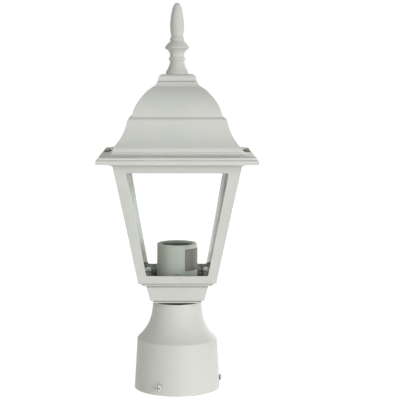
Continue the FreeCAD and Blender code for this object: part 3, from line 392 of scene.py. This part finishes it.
def porcelain():
    """Green-white porcelain, fine specks; painted shade left, in corners and mouth; painted
    highlight right.
    """
    finish = Finish("porcelain", Roughness=0.45, Specular_IOR_Level=0.15, Coat_Weight=0.04)
    x, y, z = finish.xyz()
    cloud = finish.mottle(11, 2.0)
    specks = 1 - finish.between(finish.cells(2.4), 0.06, 0.12)
    body = finish.blend(cloud, tone(0.308, 0.333, 0.294), tone(0.348, 0.371, 0.327))
    # Painted shade on the left side
    clear_of_left_shade = finish.between(x + (cloud - 0.5) * (4 * MM), -20 * MM, -6 * MM)
    body = finish.blend(clear_of_left_shade, tone(0.215, 0.22, 0.17), body)
    # A painted highlight on the right side
    body = finish.blend(finish.between(x, 7 * MM, 17 * MM), body, tone(0.5, 0.55, 0.465))
    body = finish.blend(specks * 0.35, body, tone(0.2, 0.21, 0.17))
    # Painted shade in corners
    corners = finish.between(finish.shelter(2.5), 0.2, 0.75)
    body = finish.blend(corners, tone(0.05, 0.052, 0.038), body)
    # Painted shade, near black, down inside the mouth
    near_top = finish.between(z, SOCKET_TOP - 5.5 * MM, SOCKET_TOP)
    bore = finish.blend(near_top ** 1.5, tone(0.012, 0.012, 0.008), body)
    from_axis = (x * x + y * y) ** 0.5
    outside = finish.between(from_axis, 18.3 * MM, 18.7 * MM)
    finish.colour(finish.blend(outside, bore, body))
    finish.roughness(0.36 + cloud * 0.14)
    finish.bumps(cloud, 0.12, edge=0.3)
    return finish.material


def brass(name, clean, dull):
    """Brass with tarnish in its corners."""
    finish = Finish(name, Metallic=1.0, Roughness=0.3)
    stain = finish.mottle(4, 4.0, 0.6)
    corners = finish.between(finish.shelter(1.5), 0.3, 0.85)
    metal = finish.blend(stain, clean, dull)
    finish.colour(finish.blend(corners, tone(0.2, 0.13, 0.05), metal))
    finish.roughness(0.2 + stain * 0.25)
    finish.bumps(finish.mottle(0.6), 0.02)
    return finish.material


def silver_foil():
    """Blank silver foil, slightly wrinkled over the holder's curve, with a painted shadow along
    its edges.
    """
    finish = Finish("silver_foil", Metallic=0.6, Roughness=0.45, Specular_IOR_Level=0.3)
    x, y, z = finish.xyz()
    creases = finish.mottle(3.2, 3.0, 0.6, at=finish.stretched(1, 1, 0.35))
    turn = finish.sum("ARCTAN2", y, x) - math.atan2(FOIL_START.y, FOIL_START.x)
    from_side = turn * FOIL_START.length
    from_end = finish.sum("MINIMUM", z - FOIL_LOW, FOIL_HIGH - z)
    from_edge = finish.sum("MINIMUM", from_end, from_side)
    foil = finish.blend(creases, tone(0.122, 0.112, 0.102), tone(0.262, 0.24, 0.226))
    # A painted shadow line along the foil's edges
    clear_of_edge_shadow = finish.between(from_edge, 0.2 * MM, 1.1 * MM)
    finish.colour(finish.blend(clear_of_edge_shadow, tone(0.05, 0.05, 0.038), foil))
    finish.roughness(0.35 + creases * 0.25)
    finish.bumps(creases, 0.2)
    return finish.material


def wire_cover(name, dark, light):
    """Smooth plastic insulation with a faint scuff."""
    finish = Finish(name, Roughness=0.35, Specular_IOR_Level=0.5)
    scuff = finish.mottle(2.2, 3.0, at=finish.stretched(1, 1, 0.2))
    finish.colour(finish.blend(scuff, dark, light))
    finish.roughness(0.3 + scuff * 0.2)
    finish.bumps(scuff, 0.03)
    return finish.material


def green_steel():
    """Green dyed zinc, with painted shade in its corners."""
    finish = Finish("green_steel", Metallic=0.8, Roughness=0.35)
    dye = finish.mottle(1.6, 3.0)
    # Painted shade in corners
    corners = finish.between(finish.shelter(1.2), 0.3, 0.85)
    metal = finish.blend(dye, tone(0.05, 0.26, 0.11), tone(0.12, 0.4, 0.2))
    finish.colour(finish.blend(corners, tone(0.02, 0.07, 0.03), metal))
    finish.roughness(0.28 + dye * 0.2)
    finish.bumps(dye, 0.03)
    return finish.material


FINISHES = {
    "paint": cast_paint(),
    "screw_paint": screw_paint(),
    "glass": clear_glass(),
    "nylon": grey_nylon(),
    "plated_screw": plated_steel(),
    "zinc_steel": zinc_steel(),
    "porcelain": porcelain(),
    "brass": brass("brass", tone(0.78, 0.58, 0.27), tone(0.62, 0.44, 0.19)),
    "foil": silver_foil(),
    "black_wire": wire_cover(
        "black_wire_cover", tone(0.012, 0.012, 0.013), tone(0.03, 0.03, 0.031)
    ),
    "white_wire": wire_cover("white_wire_cover", tone(0.66, 0.66, 0.62), tone(0.78, 0.78, 0.75)),
    "green_screw": green_steel(),
}

# The cage and finial coats are painted darker and the roof's lighter, as painted light and shade
OWN_FINISHES = {
    "cage": cast_paint("cage_paint_shaded", cage_marks, light=0.975),
    "roof": cast_paint("roof_paint_lightened", light=1.015),
    "post_collar": cast_paint("collar_paint_slit_shaded", collar_marks),
    "finial": cast_paint("finial_paint_shaded", light=0.92),
    "screw_shell": brass("shell_brass", tone(0.86, 0.8, 0.66), tone(0.68, 0.61, 0.47)),
}

slot_of = {part["node"]: part["material_slot"] for part in record["subparts"]}


def finish_of(node):
    """A node's own finish, or else that of its material slot."""
    return OWN_FINISHES.get(node) or FINISHES[slot_of[node]]


for name, node in frame["nodes"].items():
    finish = finish_of(name)
    if not node.material_slots:
        node.data.materials.append(finish)
    for material_slot in node.material_slots:
        material_slot.material = finish


# ---------------------------------------------------------------------------------------
# Threads: each new piece stands for a packed one whose thread is a plain cylinder
# ---------------------------------------------------------------------------------------
def wave(phase):
    """A rounded thread's height from 0 to 1 along its pitch."""
    return 0.5 + 0.5 * math.cos(2 * math.pi * phase)


def ridge(phase):
    """A cut thread's height from 0 to 1 along its pitch: straight flanks, flat crest and root."""
    return min(1.0, max(0.0, abs(2 * (phase % 1.0) - 1) * 1.4 - 0.2))


def heights(low, high, step):
    """Evenly spaced heights from low to high, about one step apart."""
    count = max(2, round((high - low) / step) + 1)
    return [low + (high - low) * i / (count - 1) for i in range(count)]


class ThreadedMesh:
    """A mesh of rings round a line from "foot" along "way"."""

    def __init__(self, foot, way, around, pitch):
        self.mesh = bmesh.new()
        self.foot, self.way = Vector(foot), Vector(way).normalized()
        self.side = self.way.orthogonal().normalized()
        self.front = self.way.cross(self.side)
        self.around, self.pitch = around, pitch

    def ring(self, height, root, crest=None, shape=ridge, share=1.0):
        """A ring whose radius follows the thread between root and crest."""
        verts = []
        for i in range(self.around):
            turn = i / self.around
            radius = root
            if crest is not None:
                radius += (crest - root) * share * shape(height / self.pitch - turn)
            angle = 2 * math.pi * turn
            outward = self.side * math.cos(angle) + self.front * math.sin(angle)
            verts.append(self.mesh.verts.new(self.foot + self.way * height + outward * radius))
        return verts

    def cut_thread(self, low, high, crest, depth):
        """The rings of a cut thread from low to high."""
        levels = heights(low, high, self.pitch / 6)
        return [self.ring(height, crest - depth, crest) for height in levels]

    def skin(self, rings, closed=False):
        """Joins rings that follow one another, and the last to the first where it is closed."""
        for low, high in zip(rings, rings[1:] + rings[:1] if closed else rings[1:]):
            for i in range(len(low)):
                j = (i + 1) % len(low)
                self.mesh.faces.new((low[i], low[j], high[j], high[i]))

    def solid(self, rings):
        """Joins rings that follow one another, with a lid on either end."""
        self.skin(rings)
        for end in (rings[0], rings[-1]):
            self.mesh.faces.new(end)

    def finished(self, name, node):
        """Makes the piece, which rides and is painted like the node that it stands for."""
        bmesh.ops.recalc_face_normals(self.mesh, faces=self.mesh.faces)
        data = bpy.data.meshes.new(name)
        self.mesh.to_mesh(data)
        self.mesh.free()
        data.shade_smooth()
        data.set_sharp_from_angle(angle=math.radians(40))
        piece = bpy.data.objects.new(name, data)
        bpy.context.scene.collection.objects.link(piece)
        data.materials.append(finish_of(node))
        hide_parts(node)
        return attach(piece, frame["nodes"][node]["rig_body"])


def make_pipe_thread():
    """The pipe is threaded from end to end, 27 turns to the inch."""
    low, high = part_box("threaded_pipe")
    crest, length = high.x, high.z - low.z
    bore, end_radius, lead_in = 3.5 * MM, crest - 0.55 * MM, 0.3 * MM
    pipe = ThreadedMesh((0, 0, low.z), UP, around=48, pitch=0.94 * MM)
    rings = [pipe.ring(0, bore), pipe.ring(0, end_radius)]
    rings += pipe.cut_thread(lead_in, length - lead_in, crest, depth=0.45 * MM)
    rings += [pipe.ring(length, end_radius), pipe.ring(length, bore)]
    pipe.skin(rings, closed=True)
    pipe.finished("pipe_thread", "threaded_pipe")


def make_stud_thread():
    """The finial's stud is threaded from end to end."""
    low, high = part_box("finial_stud")
    crest, length = high.x, high.z - low.z
    end_radius, lead_in = crest - 0.6 * MM, 0.4 * MM
    stud = ThreadedMesh((0, 0, low.z), UP, around=40, pitch=1.0 * MM)
    rings = [stud.ring(0, end_radius)]
    rings += stud.cut_thread(lead_in, length - lead_in, crest, depth=0.5 * MM)
    rings.append(stud.ring(length, end_radius))
    stud.solid(rings)
    stud.finished("stud_thread", "finial_stud")


def make_screw_thread(node, way, head, radius, pitch):
    """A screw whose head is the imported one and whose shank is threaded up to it."""
    depth, lead_in, into_head = 0.4 * MM, 0.4 * MM, 0.2 * MM
    packed = frame["nodes"][node].data
    screw = ThreadedMesh((0, 0, 0), way, around=32, pitch=pitch)
    along, *across = (
        [line.dot(vertex.co) for vertex in packed.vertices]
        for line in (screw.way, screw.side, screw.front)
    )
    tip, seat = min(along), max(along) - head
    middle = [(min(spread) + max(spread)) / 2 for spread in across]
    screw.foot = screw.way * tip + screw.side * middle[0] + screw.front * middle[1]

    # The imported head, cut off its shank just under the seat and closed again
    screw.mesh.from_mesh(packed)
    bmesh.ops.remove_doubles(screw.mesh, verts=screw.mesh.verts, dist=0.001 * MM)
    cut = seat - 0.05 * MM
    shank = [vertex for vertex in screw.mesh.verts if screw.way.dot(vertex.co) < cut]
    bmesh.ops.delete(screw.mesh, geom=shank, context="VERTS")
    open_edges = [edge for edge in screw.mesh.edges if edge.is_boundary]
    bmesh.ops.holes_fill(screw.mesh, edges=open_edges)

    length = seat - tip
    rings = [screw.ring(0, radius - 0.5 * MM)]
    rings += screw.cut_thread(lead_in, length, radius, depth)
    rings.append(screw.ring(length + into_head, radius - depth))
    screw.solid(rings)
    screw.finished(node + "_thread", node)


def make_shell_thread():
    """The screw shell: thin brass rolled into a rounded thread, with a flange and two tongues."""
    low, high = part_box("screw_shell")
    wall, flange = 0.6 * MM, high.x
    sheet = wall * 0.9
    widest = 13.3 * MM
    narrowest = widest - 0.9 * MM
    tongue_height, tongue_half = 5.4 * MM, 1.8 * MM
    corner, corner_steps = tongue_half * 0.6, 6
    rim = high.z - tongue_height - low.z
    shell = ThreadedMesh((0, 0, low.z), UP, around=72, pitch=3.63 * MM)

    def fade(height):
        """The thread's share of its full depth, which runs out towards both ends."""
        return max(0.0, min(1.0, height / (1.5 * MM), (rim - wall - height) / (2.5 * MM)))

    def layer(offset):
        """One face of the sheet, from bottom to top: widest at its ends, waved between them."""
        return [
            shell.ring(height, widest + offset, narrowest + offset, wave, fade(height))
            for height in heights(0, rim - wall, shell.pitch / 14)
        ]

    inner, outer = layer(0.0), layer(sheet)
    top = [shell.ring(rim - wall, flange), shell.ring(rim, flange), shell.ring(rim, widest)]
    shell.skin(outer + top + inner[::-1], closed=True)

    # The tongues stand on the flange, with round upper corners
    outline = [(-tongue_half, rim - wall / 2)]
    for step in range(corner_steps + 1):
        angle = math.pi - math.pi / 2 * step / corner_steps
        y = corner - tongue_half + corner * math.cos(angle)
        z = rim + tongue_height - corner * (1 - math.sin(angle))
        outline.append((y, z))
    outline += [(-y, z) for y, z in reversed(outline)]
    far = flange - wall / 2
    for sign in (-1, 1):
        sides = [
            [shell.mesh.verts.new((sign * x, y, low.z + z)) for y, z in outline]
            for x in (far - wall, far)
        ]
        shell.solid(sides)
    shell.finished("shell_thread", "screw_shell")


make_pipe_thread()
make_stud_thread()
make_shell_thread()
for side in ("left", "right"):
    make_screw_thread(f"roof_screw_{side}", UP, head=3.3 * MM, radius=2.0 * MM, pitch=0.8 * MM)
make_screw_thread("ground_screw", UP, head=2.4 * MM, radius=2.0 * MM, pitch=0.8 * MM)

# The set screws point outwards, a third of a turn apart, counted in degrees from +X
FIRST_SET_SCREW = -115
for i in range(3):
    turn = math.radians(FIRST_SET_SCREW + 120 * i)
    outwards = (math.cos(turn), math.sin(turn), 0)
    node = f"set_screw_{i + 1}"
    make_screw_thread(node, outwards, head=2.1 * MM, radius=2.5 * MM, pitch=0.9 * MM)


# ---------------------------------------------------------------------------------------
# Floor, surroundings and lamps
# ---------------------------------------------------------------------------------------
WHITE, BLACK = tone(1, 1, 1), tone(0, 0, 0)
LANTERN_MIDDLE = (0, 0, 0.2)


def make_floor():
    """Card that fades to plain white, keeps the shadow and glows faintly up at the lantern."""
    half = 12.0
    mesh = bpy.data.meshes.new("floor")
    corners = [(-half, -half, 0), (half, -half, 0), (half, half, 0), (-half, half, 0)]
    mesh.from_pydata(corners, [], [(0, 1, 2, 3)])
    floor = bpy.data.objects.new("floor", mesh)
    bpy.context.scene.collection.objects.link(floor)
    finish = Finish("floor_card", Roughness=0.9, Specular_IOR_Level=0.0, Emission_Strength=1.0)
    paper = finish.mottle(60, 2.0)
    finish.colour(finish.blend(paper, tone(0.8, 0.8, 0.8), tone(0.82, 0.82, 0.82)))
    settings = {"operation": "LENGTH"}
    from_foot = finish.node("ShaderNodeVectorMath", settings, {0: finish.place()}, "Value")
    whiteness = finish.between(from_foot, 0.2, 1.6) * 0.4 + 0.6
    upward = finish.blend(finish.between(from_foot, 0.15, 0.8), tone(0.25, 0.245, 0.21), BLACK)
    glow = finish.blend(finish.white_to_the_eye() * whiteness, upward, WHITE)
    finish.feed(finish.surface.inputs["Emission Color"], glow)
    mesh.materials.append(finish.material)


def make_surroundings():
    """A studio that is plain white to the eye and lights the lantern softly, least from above."""
    world = bpy.data.worlds.new("studio")
    bpy.context.scene.world = world
    studio = Recipe(world)
    direction = studio.node("ShaderNodeTexCoord", {}, {}, "Generated")
    right, up = (studio.part_of(direction, axis) for axis in "XZ")
    left_wall, right_wall = tone(0.41, 0.41, 0.385), tone(0.56, 0.56, 0.545)
    walls = studio.blend(studio.between(right, -0.8, 0.8), left_wall, right_wall)
    glow = studio.blend(studio.between(up, 0.35, 0.85), walls, tone(0.08, 0.08, 0.075))
    background = studio.tree.nodes["Background"]
    seen = studio.white_to_the_eye()
    studio.feed(background.inputs["Color"], studio.blend(seen, glow, WHITE))


def soft_lamp(name, place, size, power):
    """A square soft lamp that looks at the lantern's middle."""
    lamp = bpy.data.lights.new(name, "AREA")
    lamp.shape = "SQUARE"
    lamp.size = size
    lamp.energy = power
    holder = bpy.data.objects.new(name, lamp)
    bpy.context.scene.collection.objects.link(holder)
    holder.location = place
    towards = Vector(LANTERN_MIDDLE) - Vector(place)
    holder.rotation_euler = towards.to_track_quat("-Z", "Y").to_euler()


make_floor()
make_surroundings()
soft_lamp("key_lamp", (1.6, -1.8, 0.35), size=1.0, power=25.5)
soft_lamp("fill_lamp", (-0.3, -2.2, 1.15), size=1.4, power=10.5)
soft_lamp("back_lamp", (0.9, 1.6, 0.5), size=1.2, power=14)
